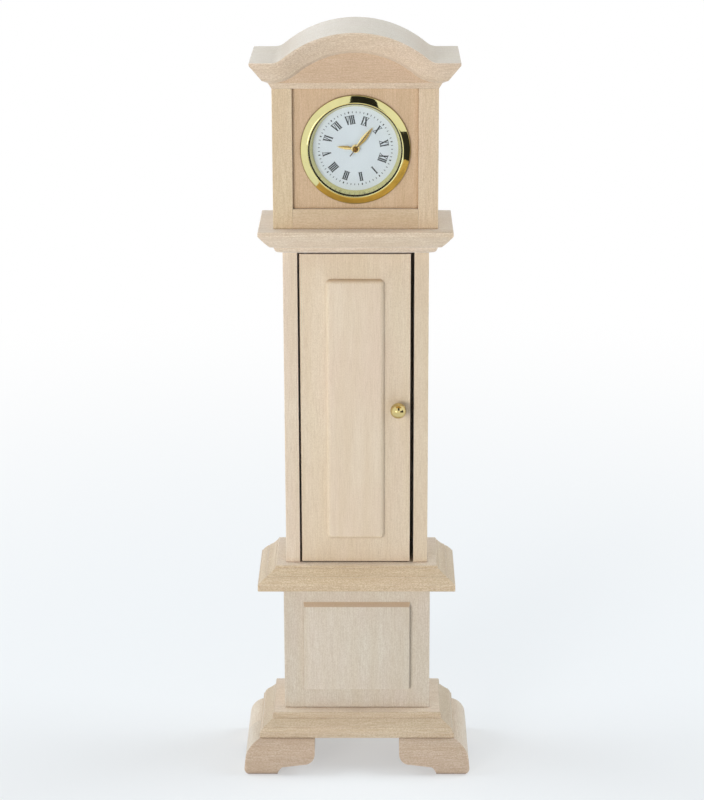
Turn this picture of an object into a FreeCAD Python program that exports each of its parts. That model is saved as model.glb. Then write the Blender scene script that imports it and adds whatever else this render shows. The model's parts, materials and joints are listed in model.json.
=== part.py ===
import FreeCAD, Part
import math, os, re, Sketcher
from FreeCAD import Placement, Rotation, Vector

# Small longcase clock in bare wood, with a fitted quartz clock in its hood.
# +Z is up, the front faces -Y, and the origin is on the ground under the middle of the case.
doc = FreeCAD.newDocument("LongcaseClock")
sheet = doc.addObject("Spreadsheet::Sheet", "Sizes")

sizes = {
    # heights of the stacked members, from the ground up
    "footHeight": 8.8, "baseHeight": 5.8, "plinthHeight": 35.4, "waistHeight": 5.4,
    "trunkHeight": 82.5, "capHeight": 6.5, "crownHeight": 7.0, "archRise": 7.3,
    # widths and depths of the three boxes
    "plinthStep": 0.75, "plinthDepth": 18.4, "trunkWidth": 36.4, "trunkDepth": 17.9,
    "hoodWidth": 40.6, "hoodDepth": 20.7,
    # moulded board under the plinth
    "baseOver": 6.4, "baseBandRise": 1.6, "baseCoveOver": 5.5, "baseCoveRise": 2.75,
    "baseLedgeOver": 3.05, "baseLedgeRise": 4.15, "baseArris": 0.25, "baseFootArris": 0.1,
    # moulded board between plinth and trunk
    "waistOver": 7.1, "waistBandRise": 1.85, "waistCoveOver": 4.9, "waistCoveRise": 3.45,
    "waistLedgeOver": 2.75, "waistLedgeRise": 4.75, "waistArris": 0.35, "waistFootArris": 0.2,
    # small square step between one member of those two mouldings and the next
    "quirk": 0.25,
    # moulded board between trunk and hood, measured in from its edge and down from its top
    "capOver": 3.75, "capBand": 1.1, "capSlopeIn": 2.8, "capSlopeDrop": 4.4, "capNeckIn": 3.75,
    "capNeckDrop": 4.7, "capArris": 0.15,
    # arched crown: cornice profile measured from the hood, and the arch
    "crownOver": 5.15, "crownBand": 0.6, "crownSlopeOver": 2.2, "crownSlopeDrop": 4.75,
    "crownFaceOver": 0.8, "crownFaceDrop": 5.5, "archRadius": 27.5, "archFillet": 4.0,
    # boards of the case
    "dialBoardThick": 3.0, "dialBoardRecess": 1.0, "hoodRailHeight": 5.0,
    "trunkSideThick": 3.6, "plinthBoardThick": 3.0, "backThick": 2.0,
    "plinthPanelSide": 5.1, "plinthPanelMargin": 5.5, "plinthPanelThick": 1.2,
    "plinthPanelBevel": 1.0, "plinthPanelEase": 0.25,
    # door, its pivot pins and its knob
    "doorThick": 3.0, "doorGapLeft": 0.5, "doorGapRight": 0.95, "doorGapTop": 0.55, "doorGapBottom": 0.25,
    "pivotIn": 1.5, "pivotBack": 1.2, "pivotSwing": 1.72, "doorPanelSide": 6.55,
    "doorPanelMargin": 6.4, "doorPanelRise": 1.15, "doorPanelCorner": 1.25, "doorPanelEase": 1.1,
    "pinRadius": 0.5, "pinGap": 0.05, "pinLength": 7.2, "pinInBoard": 3.0, "pinHoleSpare": 0.5,
    "knobHeight": 41.9, "knobRadius": 2.0, "knobIn": 3.05, "knobOut": 2.6, "knobNeckRadius": 0.75,
    "knobCollar": 1.25, "knobCollarThick": 0.35, "knobShankRadius": 0.6, "knobShankIn": 2.2,
    # ogee bracket feet
    "footOver": 3.95, "footStock": 6.8, "footLength": 18.3, "footRearLength": 13.75,
    "footSwellDrop": 4.2, "footSwellOver": 3.7, "footSoleDrop": 6.6, "footSoleOver": 3.0,
    "footPad": 8.6, "footPadRise": 2.3, "footPadSlope": 1.2, "footEndRise": 3.0, "footEndCurve": 2.8,
    "footEndTop": 5.8,
    # clock in its hole in the dial board
    "clockHole": 12.1, "bezelRoom": 1.9, "bezelHead": 1.7, "bezelFoot": 1.2, "bezelLap": 1.4,
    "bezelRim": 0.45, "bezelFlank": 1.75, "bezelHeight": 1.35, "bezelBead": 0.25, "bezelLip": 1.25,
    "spigotGap": 0.05, "crystalThick": 0.6, "crystalStep": 0.3, "crystalSeatDepth": 0.55,
    "dialSeenIn": 1.05, "dialDepth": 1.35, "dialThick": 0.3, "dialHole": 0.85, "cupGap": 0.3,
    "cupWall": 0.5, "cupDepth": 6.9, "cupFloor": 0.5, "gasketGap": 0.04, "gasketFront": 0.6,
    "gasketLength": 1.4,
    "notchWall": 0.5, "notchDepth": 3.5, "notchHalf": 2.4, "notchFront": 1.0, "stemGap": 0.05,
    # hands, each this far in front of the dial
    "hourHandReach": 4.6, "hourHandHalf": 0.45, "hourHandFront": 0.42, "minuteHandReach": 6.8,
    "minuteHandHalf": 0.65, "minuteHandFront": 0.74, "secondHandReach": 6.6, "secondHandTail": 2.2,
    "secondHandHalf": 0.12, "secondHandPoint": 0.6, "secondHandFront": 1.08, "handThick": 0.12,
    "hourBoss": 1.05, "minuteBoss": 0.75, "secondBoss": 0.55, "secondCap": 0.1,
    # wheel train: distances of the centres, and how far each layer is behind the dial's face
    "trainDistance": 3.06, "motionDistance": 2.88, "fifthDistance": 3.12, "rotorDistance": 2.38,
    "sheetMetal": 0.15, "motionLayer": 0.42, "minuteLayer": 0.64, "plateFront": 0.88, "plateThick": 0.4,
    "centreLayer": 1.4, "thirdLayer": 1.74, "secondLayer": 2.12, "fifthLayer": 2.5, "bridgeFront": 2.9,
    "bridgeThick": 0.35, "pinionSpare": 0.03, "plateGap": 0.1, "postRadius": 0.7,
    "plateCoilCut": 5.9, "arborRadius": 0.11, "arborGap": 0.03, "secondArbor": 0.13,
    "cannonOuter": 0.32, "hourTubeGap": 0.04, "hourTubeOuter": 0.55, "pivotLength": 0.3,
    "rotorMagnet": 0.75, "rotorLength": 0.9, "rotorFront": 1.35,
    # motor, circuit and cell
    "statorFront": 1.6, "statorThick": 0.3, "statorHalf": 4.8, "statorBase": 3.5, "statorTop": 6.1,
    "statorLeg": 0.9, "statorHole": 0.95, "coilRadius": 0.95, "coilHalf": 3.7, "coilGap": 0.45,
    "coreHalf": 0.45, "coreThick": 0.3,
    "circuitThick": 0.25, "circuitHalf": 6.4, "circuitHeight": 4.2, "circuitBase": 3.2,
    "canRadius": 0.6, "canLength": 4.2, "canHeight": 6.0, "canStart": 5.0, "leadRadius": 0.1,
    "leadLength": 0.8, "leadSpread": 0.25,
    "cellRadius": 3.4, "cellHeight": 2.6, "cellDrop": 5.6, "cellStep": 0.4, "cellLip": 0.7,
    "clipThick": 0.2, "clipHalf": 1.2, "clipReach": 3.2,
    # setting stem, its crown and its detent
    "stemDepth": 2.05, "stemRadius": 0.25, "stemPast": 1.7, "crownKnobRadius": 0.9,
    "crownKnobLength": 1.9, "crownKnobGap": 0.65, "stemInKnob": 1.3, "detentThick": 0.3,
    "detentInset": 1.4, "stemGroove": 0.17, "detentUp": 0.5, "detentDown": 2.0, "detentBack": 0.5,
    "cutSpare": 1.0,
}

# Sizes that follow others: what fits or lines up with a piece takes its size and a named clearance
follows = {
    "plinthWidth": "trunkWidth + 2 * plinthStep",
    "plinthPanelWidth": "plinthWidth - 2 * plinthPanelSide",
    "plinthPanelHeight": "plinthHeight - 2 * plinthPanelMargin",
    "doorWidth": "trunkWidth - 2 * trunkSideThick - doorGapLeft - doorGapRight",
    "doorHeight": "trunkHeight - doorGapBottom - doorGapTop",
    "doorPanelWidth": "doorWidth - 2 * doorPanelSide",
    "doorPanelHeight": "doorHeight - 2 * doorPanelMargin",
    "bezelRadius": "clockHole + bezelLap", "bezelCrest": "bezelRadius - bezelFlank",
    "bezelInner": "bezelCrest - bezelBead", "crystalSeat": "bezelInner - crystalStep",
    "dialSeen": "bezelInner - dialSeenIn", "hoodSideThick": "hoodWidth / 2 - bezelRadius - bezelRoom",
    "clockCentre": "hoodRailHeight + bezelFoot + bezelRadius",
    "hoodHeight": "clockCentre + bezelRadius + bezelHead",
    "cupRadius": "clockHole - cupGap", "gasketOuter": "clockHole - gasketGap",
    "notchIn": "cupRadius - notchDepth", "plateRadius": "notchIn - notchWall - plateGap",
    "coilCentre": "plateCoilCut + coilRadius + coilGap", "crownKnobStart": "notchIn + crownKnobGap",
    "detentIn": "plateRadius - detentInset", "stemInner": "detentIn - stemPast",
}

# Angles in degrees: dial and hands clockwise from the top seen from the front, and the wheels'
# directions from the clock's own 3 towards its XII
angles = {
    "dialTurn": 109.3, "hourHandAngle": -84, "minuteHandAngle": 38.5, "secondHandAngle": 37.3,
    "thirdAngle": 200, "minuteWheelAngle": -20, "fifthAngle": 90, "rotorAngle": 45,
}
halfTurn = 180
cells = {**sizes, **angles, **{name: f"={text}" for name, text in follows.items()}}

# Teeth of the wheels and pinions
toothCounts = {
    "rotorPinion": 8, "fifth": 48, "fifthPinion": 8, "seconds": 40, "secondsPinion": 8, "third": 60,
    "thirdPinion": 8, "centre": 64, "cannon": 12, "minute": 36, "minutePinion": 10, "hour": 40,
}

# Shares of the sizes they follow. Curve shares give the middle point of a curve between two others.
bandShares = (0.68, 0.45)
coveShares = {"base": (0.46, 0.47), "waist": (0.42, 0.42)}
capSlopeShares = (0.46, 0.42)
capNeckShares = ((0.55, 0.22), (0.79, 0.42), (0.95, 0.8))
swellShares = (0.57, 0.24)
soleShares = (0.72, 0.38)
padCurveShares = (0.35, 0.62)
endCurveShares = (0.29, 0.29)
bezelShares = (0.5, 0.54)
handShares = ((0.12, 0.5), (0.28, 0.72), (0.45, 1.0), (0.66, 0.84), (0.86, 0.42))
postShares = ((-0.8, 0.35), (0.8, 0.35), (-0.62, -0.62), (0.62, -0.62))
toothShares = ((-1.15, -0.56), (0.8, -0.22), (0.8, 0.22), (-1.15, 0.56))

for row, (alias, value) in enumerate(cells.items(), start=1):
    sheet.set(f"A{row}", alias)
    sheet.set(f"B{row}", str(value))
    sheet.setAlias(f"B{row}", alias)
doc.recompute()


def bound(text):
    """Write a sum of size names as an expression on the sheet."""
    return re.sub(r"[A-Za-z]\w*", lambda word: f"Sizes.{word[0]}" if word[0] in cells else word[0], text)


def number(text):
    """Work out a sum of size names."""
    value = sheet.evalExpression(bound(text))
    return float(getattr(value, "Value", value))


# Levels and planes that several pieces share, as sums of the named sizes
baseTop = "(footHeight + baseHeight)"
plinthTop = f"({baseTop} + plinthHeight)"
waistTop = f"({plinthTop} + waistHeight)"
trunkTop = f"({waistTop} + trunkHeight)"
capTop = f"({trunkTop} + capHeight)"
hoodTop = f"({capTop} + hoodHeight)"
backY = "((plinthDepth + baseOver + footOver) / 2)"
plinthY = f"({backY} - plinthDepth)"
trunkY = f"({backY} - trunkDepth)"
hoodY = f"({backY} - hoodDepth)"
boardY = f"({hoodY} + dialBoardRecess)"
clockZ = f"({capTop} + clockCentre)"
pivotX = "(trunkSideThick + doorGapLeft + pivotIn - trunkWidth / 2)"
pivotY = f"({trunkY} + pivotBack)"
doorLeft = "(trunkSideThick + doorGapLeft - trunkWidth / 2)"
doorBottom = f"({waistTop} + doorGapBottom)"
cupInner = "(cupRadius - cupWall)"
plateBack = "(plateFront + plateThick)"
bridgeBack = "(bridgeFront + bridgeThick)"

nodes = []


def keep(item, node):
    """Mark an object as one sub-part, under the name of its file."""
    if node:
        item.Label = node
        nodes.append(item)
    return item


def bind(item, **sums):
    for name, text in sums.items():
        item.setExpression(name, bound(text))
    return item


def place(item, x="0", y="0", z="0"):
    for axis, text in (("x", x), ("y", y), ("z", z)):
        item.setExpression(f"Placement.Base.{axis}", bound(text))
    return item


def box(x, y, z, width, depth, height, node=None):
    """A box from its low corner and its three sizes."""
    item = bind(doc.addObject("Part::Box", "Board"), Length=width, Width=depth, Height=height)
    return keep(place(item, x, y, z), node)


def rod(radius, length, x, y, z, axis="Y", node=None):
    """A round rod from the low end of its axis."""
    turns = {"X": Rotation(Vector(0, 1, 0), 90), "Y": Rotation(Vector(1, 0, 0), -90), "Z": Rotation()}
    item = bind(doc.addObject("Part::Cylinder", "Rod"), Radius=radius, Height=length)
    item.Placement = Placement(Vector(), turns[axis])
    return keep(place(item, x, y, z), node)


def joined(*pieces, node=None, kind="MultiFuse"):
    item = doc.addObject(f"Part::{kind}", kind)
    if kind == "Compound":
        item.Links = list(pieces)
    else:
        item.Shapes = list(pieces)
    return keep(item, node)


def common(*pieces, node=None):
    return joined(*pieces, node=node, kind="MultiCommon")


def cut(base, tool, node=None):
    item = doc.addObject("Part::Cut", "Cut")
    item.Base = base
    item.Tool = tool
    return keep(item, node)


def sketch(body, plane, offset="0"):
    """A sketch on one of the body's own planes, moved along that plane's normal."""
    flat = body.newObject("Sketcher::SketchObject", "Outline")
    origin = [item for item in body.Origin.OriginFeatures if item.Role == f"{plane}_Plane"]
    flat.AttachmentSupport = (origin[0], [""])
    flat.MapMode = "FlatFace"
    flat.setExpression("AttachmentOffset.Base.z", bound(offset))
    return flat


def pin(flat, geometry, corner, x, y):
    """Hold one point of a sketch at two sums of sizes."""
    for kind, text in (("DistanceX", x), ("DistanceY", y)):
        index = flat.addConstraint(Sketcher.Constraint(kind, -1, 1, geometry, corner, number(text)))
        flat.setExpression(f"Constraints[{index}]", bound(text))


def draw(flat, points, closed=True):
    """Lines and arcs through points. A point is (x, y), or (x, y, via x, via y) at an arc's end."""
    spots = [Vector(number(point[0]), number(point[1]), 0) for point in points]
    steps = range(0 if closed else 1, len(points))
    ends = []
    for index in steps:
        start, end = spots[index - 1], spots[index]
        if len(points[index]) == 2:
            edge = flat.addGeometry(Part.LineSegment(start, end), False)
        else:
            via = Vector(number(points[index][2]), number(points[index][3]), 0)
            edge = flat.addGeometry(Part.Arc(start, via, end), False)
        near = flat.getPoint(edge, 2).distanceToPoint(end) < flat.getPoint(edge, 1).distanceToPoint(end)
        ends.append((edge, (1, 2) if near else (2, 1)))
    for step, index in enumerate(steps):
        edge, (start, end) = ends[step]
        following = ends[(step + 1) % len(ends)]
        pin(flat, edge, end, *points[index][:2])
        if closed or step + 1 < len(ends):
            flat.addConstraint(Sketcher.Constraint("Coincident", edge, end, following[0], following[1][0]))
        if len(points[index]) == 4:
            mark = flat.addGeometry(Part.Point(Vector(*[number(t) for t in points[index][2:]], 0)), True)
            pin(flat, mark, 1, *points[index][2:])
            flat.addConstraint(Sketcher.Constraint("PointOnObject", mark, 1, edge))
    if not closed:
        pin(flat, ends[0][0], ends[0][1][0], *points[0][:2])
    return flat


def prism(plane, points, length, offset="0", both=False):
    """A body with one pad: XZ pads go forward, YZ pads to the right and XY pads up."""
    body = doc.addObject("PartDesign::Body", "Prism")
    flat = draw(sketch(body, plane, offset), points)
    solid = body.newObject("PartDesign::Pad", "Pad")
    solid.Profile = flat
    solid.Midplane = both
    bind(solid, Length=length)
    return body


def turned(points, node=None, axis="V_Axis"):
    """A body with one revolution of an outline in the XY plane."""
    body = doc.addObject("PartDesign::Body", "Turned")
    flat = draw(sketch(body, "XY"), points)
    solid = body.newObject("PartDesign::Revolution", "Revolution")
    solid.Profile = flat
    solid.ReferenceAxis = (flat, [axis])
    solid.Angle = 360
    return keep(body, node)


def mirrored(item, node):
    other = doc.addObject("Part::Mirroring", "Mirrored")
    other.Source = item
    other.Normal = Vector(1, 0, 0)
    return keep(other, node)


def between(low, high, share):
    return f"({low}) + (({high}) - ({low})) * {share}"


def along(points, run):
    """The points with each first coordinate, an arc's too, put through one sum."""
    return [tuple(text if i % 2 else run(text) for i, text in enumerate(point)) for point in points]


def turnedBack(points):
    """The same outline run the other way: an arc's middle point goes to the point before it."""
    back = []
    for index in range(len(points) - 1, -1, -1):
        later = points[index + 1] if index + 1 < len(points) else ()
        back.append((*points[index][:2], *later[2:]))
    return back


# Moulded boards: one profile along the front and both sides, square at the back
def moulded(half, front, bottom, profile, furthest):
    """The profile's points are (out from half, up from bottom), from the bottom edge up."""
    right = along(profile, lambda out: f"{half} + ({out})")
    left = along(profile, lambda out: f"-({half} + ({out}))")
    sides = prism("XZ", right + turnedBack(left), f"{backY} - {front} + {furthest}", f"-{backY}")
    ends = along(profile, lambda out: f"{front} - ({out})")
    depth = prism("YZ", [(backY, profile[0][1]), *ends, (backY, profile[-1][1])],
                  f"2 * ({half} + {furthest})", both=True)
    for body in (sides, depth):
        place(body, "0", "0", bottom)
    return common(sides, depth)


def ledgedProfile(name):
    """Outer band, rounded shoulder, cove and ledge: the profile under plinth and trunk."""
    over, band, cove, coveRise = f"{name}Over", f"{name}BandRise", f"{name}CoveOver", f"{name}CoveRise"
    ledge, ledgeRise, arris, foot = f"{name}LedgeOver", f"{name}LedgeRise", f"{name}Arris", f"{name}FootArris"
    near, far, rise, inner = f"{cove} + quirk", f"{over} - quirk", f"{coveRise} - quirk", f"{ledge} + quirk"
    return [(f"{over} - {foot}", "0"), (over, foot), (over, band), (far, band),
            (near, rise, between(near, far, bandShares[0]), between(band, rise, bandShares[1])),
            (cove, rise), (cove, coveRise),
            (inner, ledgeRise, between(inner, cove, coveShares[name][0]),
             between(coveRise, ledgeRise, coveShares[name][1])),
            (ledge, ledgeRise), (ledge, f"{name}Height - {arris}"), (f"{ledge} - {arris}", f"{name}Height")]


def mouldings():
    base = moulded("plinthWidth / 2", plinthY, "footHeight", ledgedProfile("base"), "baseOver")
    keep(base, "base_moulding")
    waist = moulded("trunkWidth / 2", trunkY, plinthTop, ledgedProfile("waist"), "waistOver")
    hole = rod("pinRadius", "pinInBoard + cutSpare", pivotX, pivotY, f"{waistTop} - pinInBoard", "Z")
    cut(waist, hole, "waist_moulding")
    trunkIn = "(trunkWidth - hoodWidth) / 2"
    neck, neckRise = "capOver - capNeckIn", "capHeight - capNeckDrop"
    slope, slopeRise = "capOver - capSlopeIn", "capHeight - capSlopeDrop"
    bandRise = "capHeight - capBand"
    profile = [(trunkIn, "0"),
               *[(between(trunkIn, neck, out), between("0", neckRise, up)) for out, up in capNeckShares],
               (neck, neckRise),
               (slope, slopeRise),
               (between(slope, "capOver", capSlopeShares[0]),
                between(slopeRise, bandRise, capSlopeShares[1])), ("capOver", bandRise),
               ("capOver", "capHeight - capArris"), ("capOver - capArris", "capHeight")]
    cap = moulded("hoodWidth / 2", hoodY, trunkTop, profile, "capOver")
    hole = rod("pinRadius", "pinInBoard + cutSpare", pivotX, pivotY, f"{trunkTop} - cutSpare", "Z")
    cut(cap, hole, "hood_moulding")


# Arched crown: one block, with the cornice running along the front over the arch
def crown():
    half = "(hoodWidth / 2 + crownOver)"
    reach = "(archRadius + archFillet)"
    fall = "(archRadius + archFillet - archRise)"
    flank = f"sqrt({reach} ^ 2 - {fall} ^ 2)"
    touchX = f"{flank} * archRadius / {reach}"
    touchZ = f"crownHeight + archRise - archRadius + {fall} * archRadius / {reach}"
    bisector = f"sqrt(({flank} / {reach}) ^ 2 + ({fall} / {reach} + 1) ^ 2)"
    viaX = f"{flank} - archFillet * {flank} / {reach} / {bisector}"
    viaZ = f"crownHeight + archFillet - archFillet * ({fall} / {reach} + 1) / {bisector}"
    side = [("hoodWidth / 2", "0"), ("hoodWidth / 2 + crownFaceOver", "crownHeight - crownFaceDrop"),
            ("hoodWidth / 2 + crownSlopeOver", "crownHeight - crownSlopeDrop"),
            (half, "crownHeight - crownBand"), (half, "crownHeight")]
    arch = [(f"-({flank})", "crownHeight"), (f"-({touchX})", touchZ, f"-({viaX})", viaZ),
            (touchX, touchZ, "0", "crownHeight + archRise"), (flank, "crownHeight", viaX, viaZ)]
    mirror = [(f"-({x})", z) for x, z in reversed(side)]
    outline = prism("XZ", side + turnedBack(arch) + mirror, "hoodDepth + crownOver", f"-{backY}")
    lip = f"{hoodY} - crownFaceOver"
    block = prism("YZ", [(hoodY, "0"), (backY, "0"), (backY, "crownHeight + archRise"),
                         (lip, "crownHeight + archRise"), (lip, "crownHeight - crownFaceDrop")],
                  f"2 * {half}", both=True)
    cornice = doc.addObject("PartDesign::Body", "Cornice")
    section = draw(sketch(cornice, "YZ", f"-{half}"),
                   [(hoodY, "crownHeight"), (hoodY, "crownHeight - crownFaceDrop"),
                    (lip, "crownHeight - crownFaceDrop"),
                    (f"{hoodY} - crownSlopeOver", "crownHeight - crownSlopeDrop"),
                    (f"{hoodY} - crownOver", "crownHeight - crownBand"),
                    (f"{hoodY} - crownOver", "crownHeight")])
    path = [(f"-{half}", "crownHeight"), *arch, (half, "crownHeight")]
    edge = draw(sketch(cornice, "XZ"), path, closed=False)
    pipe = cornice.newObject("PartDesign::AdditivePipe", "Pipe")
    pipe.Profile = section
    pipe.Spine = (edge, [f"Edge{index}" for index in range(1, len(path))])
    whole = joined(block, cornice)
    for body in (outline, block, cornice):
        place(body, "0", "0", hoodTop)
    common(outline, whole, node="crown_block")


# Hood, trunk and plinth: plain boards butted together
def cases():
    inside, left = "(hoodWidth - 2 * hoodSideThick)", "(hoodSideThick - hoodWidth / 2)"
    for side, x in (("left", "-hoodWidth / 2"), ("right", "hoodWidth / 2 - hoodSideThick")):
        box(x, hoodY, capTop, "hoodSideThick", "hoodDepth", "hoodHeight", f"hood_side_{side}")
    box(left, hoodY, capTop, inside, "dialBoardRecess", "hoodRailHeight", "hood_bottom_rail")
    box(left, f"{backY} - backThick", capTop, inside, "backThick", "hoodHeight", "hood_back")
    blank = box(left, boardY, capTop, inside, "dialBoardThick", "hoodHeight")
    hole = rod("clockHole", "dialBoardThick + 2 * cutSpare", "0", f"{boardY} - cutSpare", clockZ)
    cut(blank, hole, "dial_board")

    inside, left = "(trunkWidth - 2 * trunkSideThick)", "(trunkSideThick - trunkWidth / 2)"
    for side, x in (("left", "-trunkWidth / 2"), ("right", "trunkWidth / 2 - trunkSideThick")):
        box(x, trunkY, waistTop, "trunkSideThick", "trunkDepth", "trunkHeight", f"trunk_side_{side}")
    box(left, f"{backY} - backThick", waistTop, inside, "backThick", "trunkHeight", "trunk_back")

    thick = "plinthBoardThick"
    box("-plinthWidth / 2", plinthY, baseTop, "plinthWidth", thick, "plinthHeight", "plinth_front")
    for side, x in (("left", "-plinthWidth / 2"), ("right", f"plinthWidth / 2 - {thick}")):
        box(x, f"{plinthY} + {thick}", baseTop, thick, f"plinthDepth - {thick}", "plinthHeight",
            f"plinth_side_{side}")
    box(f"{thick} - plinthWidth / 2", f"{backY} - backThick", baseTop, f"plinthWidth - 2 * {thick}",
        "backThick", "plinthHeight", "plinth_back")
    panel, half = doc.addObject("Part::Wedge", "PlinthPanel"), "plinthPanelWidth / 2"
    bind(panel, Xmin=f"plinthPanelEase - {half}", Xmax=f"{half} - plinthPanelEase", X2min=f"-{half}",
         X2max=half, Zmin="plinthPanelEase", Zmax="plinthPanelHeight - plinthPanelBevel", Z2min="0",
         Z2max="plinthPanelHeight", Ymin="0", Ymax="plinthPanelThick")
    place(panel, "0", f"{plinthY} - plinthPanelThick",
          f"{baseTop} + (plinthHeight - plinthPanelHeight) / 2")
    keep(panel, "plinth_panel")


# Door: slab with a rounded pivot corner, raised panel, two pivot pins and a knob
def door():
    easeX, easeY = "sqrt(pivotSwing ^ 2 - pivotBack ^ 2)", "sqrt(pivotSwing ^ 2 - pivotIn ^ 2)"
    slab = prism("XY", [(f"{pivotX} - {easeX}", trunkY), (f"{doorLeft} + doorWidth", trunkY),
                        (f"{doorLeft} + doorWidth", f"{trunkY} + doorThick"),
                        (doorLeft, f"{trunkY} + doorThick"), (doorLeft, f"{pivotY} - {easeY}")],
                     "doorHeight")
    place(slab, "0", "0", doorBottom)
    x, z, corner = "doorPanelWidth / 2", "doorPanelHeight / 2", "doorPanelCorner"
    viaX, viaZ = f"{x} - {corner} * (1 - sqrt(2) / 2)", f"{z} - {corner} * (1 - sqrt(2) / 2)"
    raised = prism("XZ", [(f"{x} - {corner}", f"-{z}"), (x, f"{corner} - {z}", viaX, f"-({viaZ})"),
                          (x, f"{z} - {corner}"), (f"{x} - {corner}", z, viaX, viaZ),
                          (f"{corner} - {x}", z), (f"-{x}", f"{z} - {corner}", f"-({viaX})", viaZ),
                          (f"-{x}", f"{corner} - {z}"),
                          (f"{corner} - {x}", f"-{z}", f"-({viaX})", f"-({viaZ})")], "doorPanelRise")
    doc.recompute()
    pad = raised.Tip
    front = min(range(len(pad.Shape.Faces)), key=lambda index: pad.Shape.Faces[index].CenterOfMass.y)
    ease = raised.newObject("PartDesign::Fillet", "Ease")
    ease.Base = (pad, [f"Face{front + 1}"])
    bind(ease, Radius="doorPanelEase")
    place(raised, f"{doorLeft} + doorWidth / 2", trunkY, f"{doorBottom} + doorHeight / 2")

    wide, deep = "pinRadius + pinGap", "(pinLength - pinInBoard + pinHoleSpare)"
    knobX, knobZ = f"({doorLeft} + doorWidth - knobIn)", f"({waistTop} + knobHeight)"
    holes = joined(rod(wide, f"{deep} + cutSpare", pivotX, pivotY, f"{waistTop} - cutSpare", "Z"),
                   rod(wide, f"{deep} + cutSpare", pivotX, pivotY, f"{trunkTop} - {deep}", "Z"),
                   rod("knobShankRadius", "knobShankIn + cutSpare", knobX, f"{trunkY} - cutSpare", knobZ))
    cut(joined(slab, raised), holes, "door")
    joined(rod("pinRadius", "pinLength", pivotX, pivotY, f"{waistTop} - pinInBoard", "Z"),
           rod("pinRadius", "pinLength", pivotX, pivotY, f"{trunkTop} + pinInBoard - pinLength", "Z"),
           node="hinge_pins", kind="Compound")

    ball = place(bind(doc.addObject("Part::Sphere", "KnobBall"), Radius="knobRadius"), knobX,
                 f"{trunkY} - knobOut", knobZ)
    joined(ball, rod("knobNeckRadius", "knobOut", knobX, f"{trunkY} - knobOut", knobZ),
           rod("knobCollar", "knobCollarThick", knobX, f"{trunkY} - knobCollarThick", knobZ),
           rod("knobShankRadius", "knobShankIn", knobX, trunkY, knobZ), node="door_knob")


# Bracket feet: a section, a front outline and a plan with its mitre, met in one solid
def feet():
    half = "(plinthWidth / 2 + baseOver + footOver)"
    front = f"({plinthY} - baseOver - footOver)"
    sideLength = f"({backY} - {front} - footRearLength)"
    soleRise, swellRise = "footHeight - footSoleDrop", "footHeight - footSwellDrop"
    section = [("footOver - footStock", "0"), ("footSoleOver", "0"),
               ("footOver", soleRise, between("footSoleOver", "footOver", soleShares[0]),
                between("0", soleRise, soleShares[1])),
               ("footSwellOver", swellRise),
               ("0", "footHeight", f"footSwellOver * {swellShares[0]}",
                f"footHeight - footSwellDrop * {swellShares[1]}"),
               ("footOver - footStock", "footHeight")]
    frontSection = prism("YZ", along(section, lambda out: f"{front} + footOver - ({out})"),
                         f"2 * {half}", both=True)
    sideSection = prism("XZ", along(section, lambda out: f"footOver - {half} - ({out})"),
                        f"{backY} - {front}", f"-{backY}")

    deep = "footStock + 2 * cutSpare"
    shape = prism("XZ", along(bracket("footLength"), lambda run: f"({run}) - {half}"), deep,
                  f"-({front} + footStock + cutSpare)")
    plan = prism("XY", [(f"-{half}", front), (f"footLength - {half}", front),
                        (f"footLength - {half}", f"{front} + footStock"),
                        (f"footStock - {half}", f"{front} + footStock")], "footHeight")
    mirrored(common(frontSection, shape, plan, node="front_foot_left"), "front_foot_right")

    shape = prism("YZ", along(bracket(sideLength), lambda run: f"{front} + {run}"), deep,
                  f"-{half} - cutSpare")
    plan = prism("XY", [(f"-{half}", front), (f"footStock - {half}", f"{front} + footStock"),
                        (f"footStock - {half}", f"{front} + {sideLength}"),
                        (f"-{half}", f"{front} + {sideLength}")], "footHeight")
    mirrored(common(sideSection, shape, plan, node="side_foot_front_left"), "side_foot_front_right")

    shape = prism("YZ", along(bracket("footRearLength"), lambda run: f"{backY} - ({run})"), deep,
                  f"-{half} - cutSpare")
    mirrored(common(sideSection, shape, node="side_foot_rear_left"), "side_foot_rear_right")


def bracket(length):
    """One bracket seen square on: sole at its outer end, cut-out and a rounded inner end."""
    return [("0", "0"), ("footPad", "0"),
            ("footPad + footPadSlope", "footPadRise", f"footPad + footPadSlope * {padCurveShares[0]}",
             f"footPadRise * {padCurveShares[1]}"),
            (f"{length} - footEndCurve", "footEndRise"),
            (length, "footEndTop", f"{length} - footEndCurve * {endCurveShares[0]}",
             between("footEndRise", "footEndTop", endCurveShares[1])),
            (length, "footHeight"), ("0", "footHeight")]


# The fitted clock is drawn in its own frame: +Y behind the dial's face, XII towards +Z
def seat(item, depth="dialDepth", angle="dialTurn"):
    """Put a piece of the clock in its hole, turned about its axis. The depth is from the board's face."""
    item.Placement = Placement(Vector(), Rotation(Vector(0, 1, 0), number(angle)))
    return place(item, "0", f"{boardY} + ({depth})", clockZ)


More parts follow.
